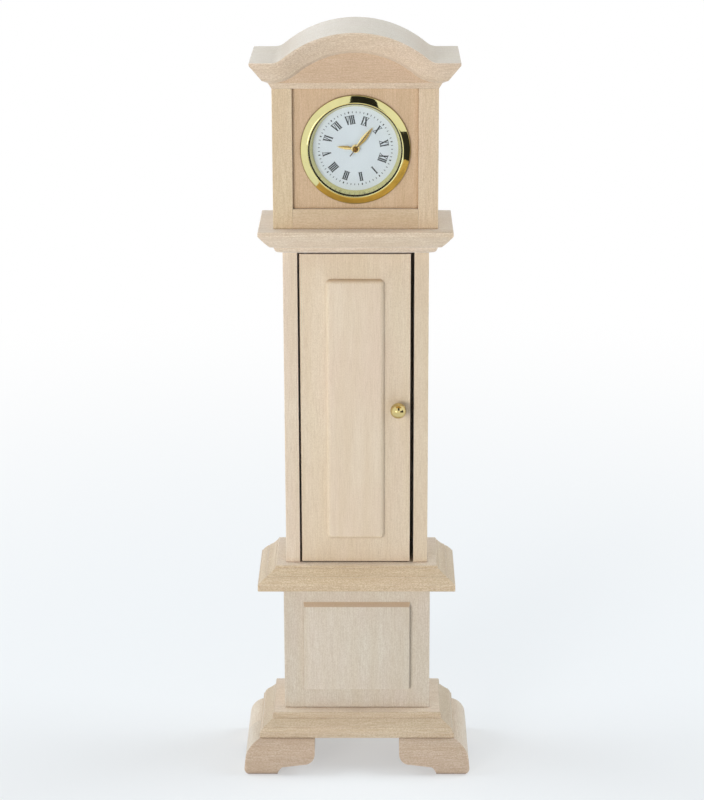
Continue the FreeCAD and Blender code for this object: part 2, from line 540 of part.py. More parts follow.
def clockCase():
    spigot = f"({cupInner} - spigotGap)"
    seat(turned([("dialSeen", "dialDepth"), (spigot, "dialDepth"), (spigot, "0"), ("bezelRadius", "0"),
                 ("bezelRadius", "-bezelRim"),
                 ("bezelCrest", "-bezelHeight", between("bezelCrest", "bezelRadius", bezelShares[0]),
                  f"-({between('bezelRim', 'bezelHeight', bezelShares[1])})"),
                 ("bezelInner", "-bezelLip"), ("bezelInner", "-crystalSeatDepth"),
                 ("crystalSeat", "-crystalSeatDepth")], "insert_bezel"), "0")
    seat(joined(rod("bezelInner", "crystalThick", "0", "-crystalSeatDepth - crystalThick", "0"),
                node="insert_crystal", kind="Compound"), "0")
    seat(cut(rod(cupInner, "dialThick", "0", "0", "0"),
             rod("dialHole", "dialThick + 2 * cutSpare", "0", "-cutSpare", "0"), "insert_dial"))
    seat(cut(rod("gasketOuter", "gasketLength", "0", "gasketFront", "0"),
             rod("cupRadius", "gasketLength + 2 * cutSpare", "0", "gasketFront - cutSpare", "0"),
             "insert_ring"), "0")

    wall = cut(rod("cupRadius", "cupDepth + dialDepth", "0", "-dialDepth", "0"),
               rod(cupInner, "cupDepth + dialDepth + 2 * cutSpare", "0", "-dialDepth - cutSpare", "0"))
    side = "(notchHalf + notchWall)"
    pocket = common(box("notchIn - notchWall", "notchFront - notchWall", f"-{side}", "cupRadius",
                        "cupDepth", f"2 * {side}"), rod("cupRadius", "cupDepth", "0", "0", "0"))
    space = joined(box("notchIn", "notchFront", "-notchHalf", "cupRadius", "cupDepth", "2 * notchHalf"),
                   rod("stemRadius + stemGap", "notchWall + 2 * cutSpare",
                       "notchIn - notchWall - cutSpare", "stemDepth", "0", "X"))
    seat(cut(joined(wall, pocket), space, "insert_case"))
    back = rod(cupInner, "cupFloor", "0", "cupDepth - cupFloor", "0")
    seat(cut(back, box("notchIn - notchWall", "cupDepth - cupFloor - cutSpare", f"-{side}", "cupRadius",
                       "cupFloor + 2 * cutSpare", f"2 * {side}"), "case_back"))


def clockPlates():
    thirdX, thirdZ = "trainDistance * cos(thirdAngle)", "trainDistance * sin(thirdAngle)"
    minuteX, minuteZ = "motionDistance * cos(minuteWheelAngle)", "motionDistance * sin(minuteWheelAngle)"
    fifthX, fifthZ = "fifthDistance * cos(fifthAngle)", "fifthDistance * sin(fifthAngle)"
    rotorX = f"{fifthX} + rotorDistance * cos(rotorAngle)"
    rotorZ = f"{fifthZ} + rotorDistance * sin(rotorAngle)"
    small, deep = "arborRadius + arborGap", f"{bridgeBack} + cutSpare"

    plate = [rod("plateRadius", "plateThick", "0", "plateFront", "0")]
    for x, z in postShares:
        plate.append(rod("postRadius", "bridgeFront - dialThick", f"plateRadius * {x}", "dialThick",
                         f"plateRadius * {z}"))
    holes = [rod("cannonOuter + arborGap", deep, "0", "0", "0"),
             box("-plateRadius", "0", "plateCoilCut", "2 * plateRadius", deep, "plateRadius")]
    for x, z in ((thirdX, thirdZ), (minuteX, minuteZ), (fifthX, fifthZ), (rotorX, rotorZ)):
        holes.append(rod(small, deep, x, "0", z))
    seat(cut(joined(*plate), joined(*holes), "movement_plate"))

    holes = [rod("secondArbor + arborGap", deep, "0", "0", "0")]
    for x, z in ((thirdX, thirdZ), (fifthX, fifthZ), (rotorX, rotorZ)):
        holes.append(rod(small, deep, x, "0", z))
    seat(cut(rod("plateRadius", "bridgeThick", "0", "bridgeFront", "0"), joined(*holes), "movement_bridge"))

    iron = [box("-statorHalf", "statorFront", "statorBase", "2 * statorHalf", "statorThick",
                "statorTop - statorBase")]
    for x in ("-statorHalf", "statorHalf - statorLeg"):
        iron.append(box(x, "statorFront", "statorBase", "statorLeg", "statorThick",
                        "coilCentre + coreHalf - statorBase"))
        iron.append(box(x, plateBack, "statorBase", "statorLeg", f"statorFront - {plateBack}",
                        "plateCoilCut - statorBase"))
    seat(cut(joined(*iron), rod("statorHole", deep, rotorX, "0", rotorZ), "stator"))
    seat(joined(rod("coilRadius", "2 * coilHalf", "-coilHalf", "statorFront - coreThick / 2",
                    "coilCentre", "X"),
                box("-statorHalf", "statorFront - coreThick", "coilCentre - coreHalf", "2 * statorHalf",
                    "coreThick", "2 * coreHalf"), node="coil"))

    board = box("-circuitHalf", bridgeBack, "circuitBase", "2 * circuitHalf", "circuitThick",
                "circuitHeight")
    seat(joined(board, node="circuit_board", kind="Compound"))
    canY = f"{bridgeBack} + circuitThick + canRadius"
    can = [rod("canRadius", "canLength", "-canStart", canY, "canHeight", "X")]
    for z in ("canHeight - leadSpread", "canHeight + leadSpread"):
        can.append(rod("leadRadius", "leadLength", "canLength - canStart", canY, z, "X"))
    seat(joined(*can, node="quartz_can"))

    cellY = f"({bridgeBack} + clipThick)"
    seat(joined(rod("cellRadius - cellLip", "cellStep", "0", cellY, "-cellDrop"),
                rod("cellRadius", "cellHeight - cellStep", "0", f"{cellY} + cellStep", "-cellDrop"),
                node="battery"))
    foot = "-(cellDrop + cellRadius + clipThick)"
    strips = [box("-clipHalf", bridgeBack, foot, "2 * clipHalf", "clipThick", "2 * cellRadius"),
              box("-clipHalf", bridgeBack, foot, "2 * clipHalf", "cellHeight + 2 * clipThick", "clipThick"),
              box("-clipHalf", f"{cellY} + cellHeight", foot, "2 * clipHalf", "clipThick", "clipReach")]
    seat(joined(*strips, node="battery_clip"))


def setting():
    groove = "detentIn - arborGap", "detentIn + detentThick + arborGap"
    stem = turned([("stemInner", "0"), ("crownKnobStart + stemInKnob", "0"),
                   ("crownKnobStart + stemInKnob", "stemRadius"), (groove[1], "stemRadius"),
                   (groove[1], "stemGroove"), (groove[0], "stemGroove"), (groove[0], "stemRadius"),
                   ("stemInner", "stemRadius")], "setting_stem", "H_Axis")
    seat(stem, "dialDepth + stemDepth")
    seat(cut(rod("crownKnobRadius", "crownKnobLength", "crownKnobStart", "stemDepth", "0", "X"),
             rod("stemRadius", "stemInKnob + cutSpare", "crownKnobStart - cutSpare", "stemDepth", "0", "X"),
             "setting_crown"))
    bore = "(stemGroove + arborGap)"
    arm = box("detentIn", plateBack, "-detentDown", "detentThick", f"stemDepth + detentBack - {plateBack}",
              "detentDown + detentUp")
    slot = joined(box("detentIn - cutSpare", f"stemDepth - {bore}", "0", "detentThick + 2 * cutSpare",
                      f"2 * {bore}", "detentUp + cutSpare"),
                  rod(bore, "detentThick + 2 * cutSpare", "detentIn - cutSpare", "stemDepth", "0", "X"))
    seat(cut(arm, slot, "setting_detent"))


def hands():
    for name, bore in (("hour", "hourTubeOuter"), ("minute", "cannonOuter")):
        reach, half = f"{name}HandReach", f"{name}HandHalf"
        right = [(f"{half} * {wide}", f"{reach} * {far}") for far, wide in handShares]
        right.insert(0, (f"{half} * {handShares[0][1]}", "0"))
        leaf = [*right, ("0", reach), *[(f"-({x})", z) for x, z in reversed(right)]]
        hand(f"{name}_hand", leaf, f"{name}Boss", bore, f"{name}HandFront", f"{name}HandAngle")
    half = "secondHandHalf"
    needle = [(half, "-secondHandTail"), (half, "secondHandReach - secondHandPoint"),
              ("0", "secondHandReach"), (f"-{half}", "secondHandReach - secondHandPoint"),
              (f"-{half}", "-secondHandTail")]
    hand("second_hand", needle, "secondBoss", "secondArbor", "secondHandFront", "secondHandAngle")


def hand(node, leaf, boss, bore, front, angle):
    blank = joined(prism("XZ", leaf, "handThick"), rod(boss, "handThick", "0", "-handThick", "0"))
    hole = rod(bore, "handThick + 2 * cutSpare", "0", "-handThick - cutSpare", "0")
    seat(cut(blank, hole, node), f"dialDepth + handThick - {front}", angle)


# Wheels: toothed discs on arbors, each a set of solids joined into one
def wheel(node, *solids):
    shape = solids[0]
    for solid in solids[1:]:
        shape = shape.fuse(solid)
    item = doc.addObject("Part::Feature", "Wheel")
    item.Shape = shape.removeSplitter()
    return seat(keep(item, node))


def module(distance, one, other):
    return 2 * number(distance) / (toothCounts[one] + toothCounts[other])


def toothed(spot, name, size, phase, front, back):
    """A toothed disc about a centre, with one tooth pointing at the phase angle."""
    half = math.pi / toothCounts[name]
    points = []
    for index in range(toothCounts[name]):
        for out, turn in toothShares:
            radius = size * (toothCounts[name] / 2 + out)
            angle = math.radians(phase) + half * (2 * index + turn)
            points.append(Vector(spot[0] + radius * math.cos(angle), number(front),
                                 spot[1] + radius * math.sin(angle)))
    face = Part.Face(Part.makePolygon([*points, points[0]]))
    return face.extrude(Vector(0, number(back) - number(front), 0))


def shaft(spot, radius, front, back):
    return Part.makeCylinder(number(radius), number(back) - number(front),
                             Vector(spot[0], number(front), spot[1]), Vector(0, 1, 0))


def polar(start, distance, angle):
    far, turn = number(distance), math.radians(angles[angle])
    return (start[0] + far * math.cos(turn), start[1] + far * math.sin(turn))


def gap(name):
    """Half a pitch in degrees, which turns a tooth into the space beside it."""
    return halfTurn / toothCounts[name]


def wheels():
    centre = (0, 0)
    third = polar(centre, "trainDistance", "thirdAngle")
    minute = polar(centre, "motionDistance", "minuteWheelAngle")
    fifth = polar(centre, "fifthDistance", "fifthAngle")
    rotor = polar(fifth, "rotorDistance", "rotorAngle")
    toThird, toMinute, toFifth, toRotor = (angles[name] for name in (
        "thirdAngle", "minuteWheelAngle", "fifthAngle", "rotorAngle"))
    train = module("trainDistance", "third", "secondsPinion")
    slow = module("trainDistance", "centre", "thirdPinion")
    motion = module("motionDistance", "minute", "cannon")
    hourly = module("motionDistance", "hour", "minutePinion")
    fast = module("fifthDistance", "seconds", "fifthPinion")
    motor = module("rotorDistance", "fifth", "rotorPinion")
    rear, plateEnd = "bridgeFront + pivotLength", f"{plateBack} - pivotLength"

    wheel("seconds_wheel", shaft(centre, "secondArbor", "-secondHandFront - secondCap", rear),
          toothed(centre, "seconds", fast, toFifth, "secondLayer", "secondLayer + sheetMetal"),
          toothed(centre, "secondsPinion", train, toThird, "thirdLayer - pinionSpare", "secondLayer"))
    wheel("third_wheel", shaft(third, "arborRadius", plateEnd, rear),
          toothed(third, "third", train, toThird + halfTurn + gap("third"), "thirdLayer",
                  "thirdLayer + sheetMetal"),
          toothed(third, "thirdPinion", slow, toThird + halfTurn, "centreLayer - pinionSpare", "thirdLayer"))
    tube = shaft(centre, "cannonOuter", "-minuteHandFront", "centreLayer + sheetMetal")
    disc = toothed(centre, "centre", slow, toThird + gap("centre"), "centreLayer",
                   "centreLayer + sheetMetal")
    cannon = toothed(centre, "cannon", motion, toMinute, "minuteLayer - pinionSpare",
                     "minuteLayer + sheetMetal + pinionSpare")
    bore = shaft(centre, "secondArbor + arborGap", "-minuteHandFront - cutSpare",
                 "centreLayer + sheetMetal + cutSpare")
    wheel("centre_wheel", tube.fuse(disc).fuse(cannon).cut(bore))
    wheel("minute_wheel", shaft(minute, "arborRadius", "dialThick + pinionSpare", plateBack),
          toothed(minute, "minute", motion, toMinute + halfTurn + gap("minute"), "minuteLayer",
                  "minuteLayer + sheetMetal"),
          toothed(minute, "minutePinion", hourly, toMinute + halfTurn, "motionLayer - pinionSpare",
                  "minuteLayer"))
    tube = shaft(centre, "hourTubeOuter", "-hourHandFront", "motionLayer + sheetMetal")
    disc = toothed(centre, "hour", hourly, toMinute + gap("hour"), "motionLayer",
                   "motionLayer + sheetMetal")
    bore = shaft(centre, "cannonOuter + hourTubeGap", "-hourHandFront - cutSpare",
                 "motionLayer + sheetMetal + cutSpare")
    wheel("hour_wheel", tube.fuse(disc).cut(bore))
    wheel("fifth_wheel", shaft(fifth, "arborRadius", plateEnd, rear),
          toothed(fifth, "fifth", motor, toRotor, "fifthLayer", "fifthLayer + sheetMetal"),
          toothed(fifth, "fifthPinion", fast, toFifth + halfTurn + gap("fifthPinion"),
                  "secondLayer - pinionSpare", "fifthLayer"))
    wheel("rotor", shaft(rotor, "arborRadius", plateEnd, rear),
          shaft(rotor, "rotorMagnet", "rotorFront", "rotorFront + rotorLength"),
          toothed(rotor, "rotorPinion", motor, toRotor + halfTurn + gap("rotorPinion"),
                  "fifthLayer - pinionSpare", "fifthLayer + sheetMetal + pinionSpare"))


def finish():
    doc.recompute()
    failed = [f"{item.Name} ({item.Label})" for item in doc.Objects if {"Invalid", "Error"} & set(item.State)]
    if failed:
        raise SystemExit(f"failed: {', '.join(failed)}")
    os.makedirs("parts", exist_ok=True)
    for item in nodes:
        shape = item.Shape
        if shape.isNull() or not shape.isValid() or not shape.Solids:
            raise SystemExit(f"{item.Label} has no valid solid")
    for item in nodes:
        item.Shape.exportStep(f"parts/{item.Label}.step")
    whole = Part.makeCompound([item.Shape for item in nodes]).BoundBox
    print(f"{len(nodes)} sub-parts, {whole.XLength:.2f} x {whole.YLength:.2f} x {whole.ZLength:.2f} mm")


feet()
mouldings()
cases()
door()
crown()
clockCase()
clockPlates()
setting()
hands()
wheels()
finish()
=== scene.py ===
import bmesh
import bpy
import json
import math
from mathutils import Matrix, Vector


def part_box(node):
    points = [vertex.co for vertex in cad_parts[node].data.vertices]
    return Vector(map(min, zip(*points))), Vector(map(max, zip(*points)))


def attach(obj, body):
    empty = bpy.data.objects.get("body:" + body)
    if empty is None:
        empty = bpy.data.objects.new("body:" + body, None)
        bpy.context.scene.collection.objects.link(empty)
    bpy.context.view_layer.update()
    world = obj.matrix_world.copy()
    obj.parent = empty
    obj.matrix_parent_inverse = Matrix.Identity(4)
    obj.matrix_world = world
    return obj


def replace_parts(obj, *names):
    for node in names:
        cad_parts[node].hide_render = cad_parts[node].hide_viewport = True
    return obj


# Small longcase clock in bare basswood, with a gilt fitted clock in its hood.
# Metres, +Z up, front towards -Y, the soles stand on z = 0. The dictionaries of the clock's own
# pieces are in millimetres, and those of the studio in metres.
mm = 0.001
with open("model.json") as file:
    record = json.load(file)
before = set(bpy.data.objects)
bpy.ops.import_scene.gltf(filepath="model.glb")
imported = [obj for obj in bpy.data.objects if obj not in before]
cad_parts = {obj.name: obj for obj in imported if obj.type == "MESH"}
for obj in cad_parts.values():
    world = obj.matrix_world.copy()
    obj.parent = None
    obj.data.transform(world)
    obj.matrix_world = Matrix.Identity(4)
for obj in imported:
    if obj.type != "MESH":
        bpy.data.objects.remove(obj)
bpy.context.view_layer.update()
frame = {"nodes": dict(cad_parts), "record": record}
nodes = frame["nodes"]
bodies = frame["record"]["behaviour"]["bodies"]
bodyOf = {node: body for body, members in bodies.items() for node in members}
print("frame loaded:", len(nodes), "nodes")


def newMaterial(name, colour, roughness, metallic=0.0):
    material = bpy.data.materials.new(name)
    material.use_nodes = True
    tree = material.node_tree
    shader = tree.nodes["Principled BSDF"]
    shader.inputs["Base Color"].default_value = (*colour, 1)
    shader.inputs["Roughness"].default_value = roughness
    shader.inputs["Metallic"].default_value = metallic
    return material, tree, shader


# A node with its settings, and values for its sockets by number or name
def addNode(tree, kind, values=(), **settings):
    node = tree.nodes.new(kind)
    for name, value in settings.items():
        setattr(node, name, value)
    for socket, value in dict(values).items():
        node.inputs[socket].default_value = value
    return node


noiseDrift = (1.0, 0.7, 1.3)  # a seed moves the pattern by these shares of itself
noiseRoughness = 0.55


# Noise in marks of a given size across and along the grain
def noiseAlong(tree, source, across, length, seed, detail):
    spread = [1 / (size * mm) for size in (across, across, length)]
    drift = [seed * share for share in noiseDrift]
    mapping = addNode(tree, "ShaderNodeMapping", {"Scale": spread, "Location": drift})
    noise = addNode(tree, "ShaderNodeTexNoise",
                    {"Scale": 1.0, "Detail": detail, "Roughness": noiseRoughness})
    tree.links.new(source, mapping.inputs["Vector"])
    tree.links.new(mapping.outputs[0], noise.inputs["Vector"])
    return noise.outputs[0]


# A grey ramp from one level to another between two values of its source
def slope(tree, source, first, second, start=0.0, end=1.0):
    node = addNode(tree, "ShaderNodeValToRGB")
    stops = sorted([(first, start), (second, end)])
    for element, (place, level) in zip(node.color_ramp.elements, stops):
        element.position = place
        element.color = (level, level, level, 1)
    tree.links.new(source, node.inputs[0])
    return node.outputs[0]


# Two colours mixed by a factor. Each of the three is a value or another node's output
def mixed(tree, factor, first, second, blend="MIX"):
    node = addNode(tree, "ShaderNodeMix", data_type="RGBA", blend_type=blend)
    for socket, value in ((0, factor), (6, first), (7, second)):
        if isinstance(value, (int, float)):
            node.inputs[socket].default_value = value
        elif isinstance(value, tuple):
            node.inputs[socket].default_value = (*value, 1)
        else:
            tree.links.new(value, node.inputs[socket])
    return node.outputs[2]


def mathNode(tree, kind, *values):
    node = addNode(tree, "ShaderNodeMath", operation=kind)
    for socket, value in enumerate(values):
        if isinstance(value, (int, float)):
            node.inputs[socket].default_value = value
        else:
            tree.links.new(value, node.inputs[socket])
    return node.outputs[0]


# Bare basswood: pale and close grained, browner where a board's end shows, with a painted highlight on its
# arrises and painted shade in its narrow joints
basswood = {
    "pale": (0.785, 0.665, 0.522), "straw": (0.735, 0.598, 0.442), "pink": (0.770, 0.625, 0.495),
    "streak": (0.530, 0.385, 0.255), "fleck": (0.440, 0.315, 0.205), "endGrain": (0.510, 0.350, 0.215),
    # crest paints a highlight on the arrises, and the joint colour paints shade in the narrow joints
    "crest": (1.10, 1.12, 1.15), "joint": (0.36, 0.22, 0.12), "roughness": 0.6,
    "endFacing": (0.4, 0.9), "endShare": 0.75, "mitredShare": 0.08,
    "speckle": {"Scale": 4200.0, "Detail": 2.0}, "speckleRamp": (0.35, 0.7),
    "glossRamp": (0.3, 0.8, 0.42, 0.58), "specular": 0.6, "sheen": 0.4, "sheenRoughness": 0.35,
    "fleckDepth": 0.6, "bump": 0.45, "relief": 0.06,
}
# Its marks: width, length, step of the seed, detail of the noise
woodMarks = {
    "fibres": (0.13, 4.5, 0.0, 4.0), "bands": (3.4, 45.0, 3.1, 2.0), "clouds": (11.0, 22.0, 7.7, 2.0),
    "flecks": (0.14, 1.3, 11.3, 1.0), "sandy": (0.22, 0.396, 17.9, 2.0),
}
# What the marks paint: the noise at which they begin and are full, the share of the colour when
# full, the colour, and if the share follows the board's figure
woodTones = (
    ("clouds", 0.35, 0.65, 1.0, "pink", False), ("bands", 0.40, 0.68, 0.8, "straw", False),
    ("fibres", 0.44, 0.72, 0.62, "streak", True), ("flecks", 0.68, 0.76, 0.5, "fleck", True),
    ("sandy", 0.60, 0.38, 0.46, "streak", True),
)
# A painted highlight on the arrises and painted shade in the narrow joints, from ambient occlusion: colour,
# reach, if it is looked for inside the wood, and how open a place is when the colour is full and when it is
# gone
paintedEdgeLightAndShade = (("crest", 0.3, True, 0.5, 0.9), ("joint", 0.9, False, 0.2, 0.56))
paintedShadeSamples = 4
grainTurns = {"upright": (0, 0, 0), "across": (0, math.pi / 2, 0), "deep": (math.pi / 2, 0, 0)}


# Basswood with its grain upright, across (left to right) or deep (front to back)
def woodMaterial(grain, seed, tint, figure, endShare):
    look = basswood
    material, tree, shader = newMaterial(f"basswood {grain} {seed}", look["pale"], look["roughness"])
    place = addNode(tree, "ShaderNodeTexCoord")
    turn = addNode(tree, "ShaderNodeMapping", {"Rotation": grainTurns[grain]})
    tree.links.new(place.outputs["Object"], turn.inputs["Vector"])
    marks = {name: noiseAlong(tree, turn.outputs[0], width, length, seed + step, detail)
             for name, (width, length, step, detail) in woodMarks.items()}
    base = look["pale"]
    for name, begin, full, share, colour, figured in woodTones:
        most = min(1.0, share * figure) if figured else share
        base = mixed(tree, slope(tree, marks[name], begin, full, 0.0, most), base, look[colour])

    # how far a face looks along the grain, from the surface's own direction in the board
    facing = addNode(tree, "ShaderNodeMapping", {"Rotation": grainTurns[grain]}, vector_type="NORMAL")
    parts = addNode(tree, "ShaderNodeSeparateXYZ")
    tree.links.new(place.outputs["Normal"], facing.inputs["Vector"])
    tree.links.new(facing.outputs[0], parts.inputs[0])
    lengthwise = mathNode(tree, "ABSOLUTE", parts.outputs[2])
    ends = slope(tree, lengthwise, *look["endFacing"], 0.0, endShare)
    speckle = addNode(tree, "ShaderNodeTexNoise", look["speckle"])
    tree.links.new(place.outputs["Object"], speckle.inputs["Vector"])
    pores = slope(tree, speckle.outputs[0], *look["speckleRamp"])
    base = mixed(tree, ends, base, mixed(tree, pores, look["endGrain"], look["streak"]))
    base = mixed(tree, 1.0, base, tint, "MULTIPLY")

    # painted highlight on the arrises and painted shade in the narrow joints
    for colour, reach, inside, full, gone in paintedEdgeLightAndShade:
        shut = addNode(tree, "ShaderNodeAmbientOcclusion", {"Distance": reach * mm},
                       samples=paintedShadeSamples, inside=inside)
        paintedTone = mixed(tree, 1.0, base, look[colour], "MULTIPLY")
        base = mixed(tree, slope(tree, shut.outputs["AO"], full, gone, 1.0, 0.0), base, paintedTone)
    tree.links.new(base, shader.inputs["Base Color"])
    tree.links.new(slope(tree, marks["fibres"], *look["glossRamp"]), shader.inputs["Roughness"])
    shader.inputs["Specular IOR Level"].default_value = look["specular"]
    shader.inputs["Sheen Weight"].default_value = look["sheen"]
    shader.inputs["Sheen Roughness"].default_value = look["sheenRoughness"]
    pits = mathNode(tree, "MULTIPLY", marks["flecks"], look["fleckDepth"])
    bump = addNode(tree, "ShaderNodeBump", {"Strength": look["bump"], "Distance": look["relief"] * mm})
    tree.links.new(mathNode(tree, "SUBTRACT", marks["fibres"], pits), bump.inputs["Height"])
    tree.links.new(bump.outputs[0], shader.inputs["Normal"])
    return material


# Fine marks change the gloss of metals and of plain stuffs, and broad patches their tone
surfaces = {
    "metal": {"metallic": 1.0, "patchStep": 5, "patchDetail": 3.0, "glossRamp": (0.3, 0.75),
              "glossShares": (0.75, 1.3), "bump": 0.3},
    "plain": {"metallic": 0.0, "patchStep": 4, "patchDetail": 2.0, "glossRamp": (0.3, 0.7),
              "glossShares": (0.85, 1.15), "bump": 0.25},
}
markDetail = 3.0
patchRamp = (0.35, 0.7)
tarnishSize = 3.0
cloudsPerGrit = 14  # how much broader than its grit the patches of a plain stuff are


def unevenMaterial(kind, name, colour, roughness, marks, patch, seed, wear, relief):
    look = surfaces[kind]
    material, tree, shader = newMaterial(name, colour, roughness, look["metallic"])
    place = addNode(tree, "ShaderNodeTexCoord").outputs["Object"]
    fine = noiseAlong(tree, place, *marks, seed, markDetail)
    patches = noiseAlong(tree, place, patch, patch, seed + look["patchStep"], look["patchDetail"])
    dark = tuple(value * (1 - wear) for value in colour)
    tree.links.new(mixed(tree, slope(tree, patches, *patchRamp), colour, dark), shader.inputs["Base Color"])
    low, high = (min(1.0, roughness * share) for share in look["glossShares"])
    tree.links.new(slope(tree, fine, *look["glossRamp"], low, high), shader.inputs["Roughness"])
    if relief:
        bump = addNode(tree, "ShaderNodeBump", {"Strength": look["bump"], "Distance": relief * mm})
        tree.links.new(fine, bump.inputs["Height"])
        tree.links.new(bump.outputs[0], shader.inputs["Normal"])
    return material


# A metal, with the width and length of its marks
def metalMaterial(name, colour, roughness, marks, seed, wear=0.12, relief=0.004):
    return unevenMaterial("metal", name, colour, roughness, marks, tarnishSize, seed, wear, relief)


# Paint, rubber, paper or plastic with a fine grit
def plainMaterial(name, colour, roughness, grit, seed, relief, wear):
    return unevenMaterial("plain", name, colour, roughness, (grit, grit), grit * cloudsPerGrit,
                          seed, wear, relief)


gilt = metalMaterial("polished gilt", (0.760, 0.710, 0.345), 0.06, (0.5, 0.5), 1.0, 0.06, 0.0)
paintedShadeRim = metalMaterial("gilt rim with painted shade", (0.260, 0.180, 0.060), 0.4, (0.2, 0.2), 2.0)
giltWall = metalMaterial("satin gilt wall", (0.800, 0.720, 0.340), 0.2, (0.4, 0.4), 3.0, 0.08)
handGilt = metalMaterial("gilt of the hands", (0.940, 0.770, 0.380), 0.25, (0.3, 0.3), 4.0, 0.05)
paintedShadeGilt = metalMaterial("gilt with painted shade on the far facets", (0.500, 0.350, 0.110), 0.3, (0.3, 0.3), 5.0, 0.05)
knobBrass = metalMaterial("turned brass", (0.720, 0.590, 0.270), 0.1, (0.25, 0.25), 6.0)
wheelBrass = metalMaterial("wheel brass", (0.640, 0.480, 0.190), 0.3, (0.15, 0.15), 7.0)
plateBrass = metalMaterial("plate brass", (0.600, 0.470, 0.220), 0.38, (0.2, 2.5), 8.0)
pinSteel = metalMaterial("drawn steel pin", (0.520, 0.520, 0.530), 0.3, (0.1, 3.0), 9.0)
cupMetal = metalMaterial("pressed cup metal", (0.560, 0.530, 0.400), 0.32, (0.3, 2.0), 10.0)
statorIron = metalMaterial("stator iron", (0.420, 0.420, 0.430), 0.42, (0.3, 2.0), 11.0)
copperWire = metalMaterial("copper winding", (0.720, 0.330, 0.150), 0.35, (0.09, 0.9), 12.0, 0.2, 0.04)
cellSteel = metalMaterial("cell steel", (0.680, 0.680, 0.670), 0.2, (0.2, 1.5), 13.0)
secondDark = metalMaterial("browned steel hand", (0.170, 0.130, 0.090), 0.3, (0.1, 1.0), 14.0)
hubGold = metalMaterial("hub of the hands", (0.230, 0.115, 0.012), 0.18, (0.2, 0.2), 15.0)
dialPaint = plainMaterial("dial enamel", (0.700, 0.745, 0.770), 0.45, 0.25, 1.0, 0.004, 0.03)
dialInk = plainMaterial("dial ink", (0.030, 0.036, 0.040), 0.5, 0.15, 2.0, 0.003, 0.2)
tickInk = plainMaterial("fine tick ink", (0.120, 0.140, 0.155), 0.5, 0.15, 3.0, 0.003, 0.2)
blackRubber = plainMaterial("black rubber", (0.020, 0.020, 0.021), 0.6, 0.2, 4.0, 0.02, 0.3)
sealBlack = plainMaterial("dark seal", (0.030, 0.022, 0.010), 0.8, 0.2, 5.0, 0.01, 0.3)
sealBlack.node_tree.nodes["Principled BSDF"].inputs["Specular IOR Level"].default_value = 0.1
circuitGreen = plainMaterial("circuit lacquer", (0.020, 0.130, 0.060), 0.3, 0.3, 6.0, 0.01, 0.35)
magnetDark = plainMaterial("sintered magnet", (0.080, 0.080, 0.085), 0.45, 0.12, 7.0, 0.02, 0.25)
print("materials ready")


# Put a mesh in the scene as one piece that rides on a body
def finished(bm, name, body, *materials, smooth=None, slot=None):
    mesh = bpy.data.meshes.new(name)
    bmesh.ops.recalc_face_normals(bm, faces=bm.faces)
    bm.to_mesh(mesh)
    bm.free()
    piece = bpy.data.objects.new(name, mesh)
    bpy.context.scene.collection.objects.link(piece)
    for material in materials:
        mesh.materials.append(material)
    if smooth is not None:
        mesh.shade_smooth()
        mesh.set_sharp_from_angle(angle=math.radians(smooth))
    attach(piece, body)
    return piece


# Every board is the frame's own solid with its arrises eased. Its row gives the run of the grain,
# a seed, the easing, its own tone and the strength of its figure
plain = (1.0, 1.0, 1.0)
boards = {
    "crown_block": ("across", 1.0, 0.18, (0.995, 0.98, 0.985), 1.5),
    "hood_side_left": ("upright", 2.0, 0.14, (0.935, 0.90, 0.78), 1.1),
    "hood_side_right": ("upright", 3.0, 0.14, (0.965, 0.925, 0.845), 1.1),
    "hood_bottom_rail": ("across", 4.0, 0.1, (0.87, 0.815, 0.715), 0.9),
    "dial_board": ("upright", 5.0, 0.06, (0.86, 0.75, 0.62), 0.9),
    "hood_back": ("upright", 6.0, 0.1, plain, 1.2),
    "hood_moulding": ("across", 7.0, 0.09, plain, 1.3),
    "trunk_side_left": ("upright", 8.0, 0.14, plain, 0.75),
    "trunk_side_right": ("upright", 9.0, 0.14, (0.94, 0.93, 0.88), 0.75),
    "trunk_back": ("upright", 10.0, 0.1, plain, 1.2),
    "door": ("upright", 11.0, 0.16, (0.965, 0.955, 0.915), 0.7),
    "waist_moulding": ("across", 12.0, 0.09, (0.92, 0.89, 0.81), 1.9),
    "plinth_front": ("upright", 13.0, 0.16, (0.86, 0.91, 0.96), 0.95),
    "plinth_side_left": ("upright", 14.0, 0.12, (0.90, 0.90, 0.87), 0.85),
    "plinth_side_right": ("upright", 15.0, 0.12, (0.90, 0.90, 0.87), 0.85),
    "plinth_back": ("upright", 16.0, 0.1, plain, 1.2),
    "plinth_panel": ("upright", 17.0, 0.08, (0.88, 0.93, 0.985), 0.8),
    "base_moulding": ("across", 18.0, 0.09, (0.85, 0.83, 0.77), 1.5),
    "front_foot_left": ("across", 19.0, 0.12, (0.76, 0.71, 0.69), 1.5),
    "front_foot_right": ("across", 20.0, 0.12, (0.77, 0.73, 0.72), 1.5),
    "side_foot_front_left": ("deep", 21.0, 0.1, (0.90, 0.92, 0.94), 1.3),
    "side_foot_front_right": ("deep", 22.0, 0.1, plain, 1.3),
    "side_foot_rear_left": ("deep", 23.0, 0.1, plain, 1.3),
    "side_foot_rear_right": ("deep", 24.0, 0.1, plain, 1.3),
}
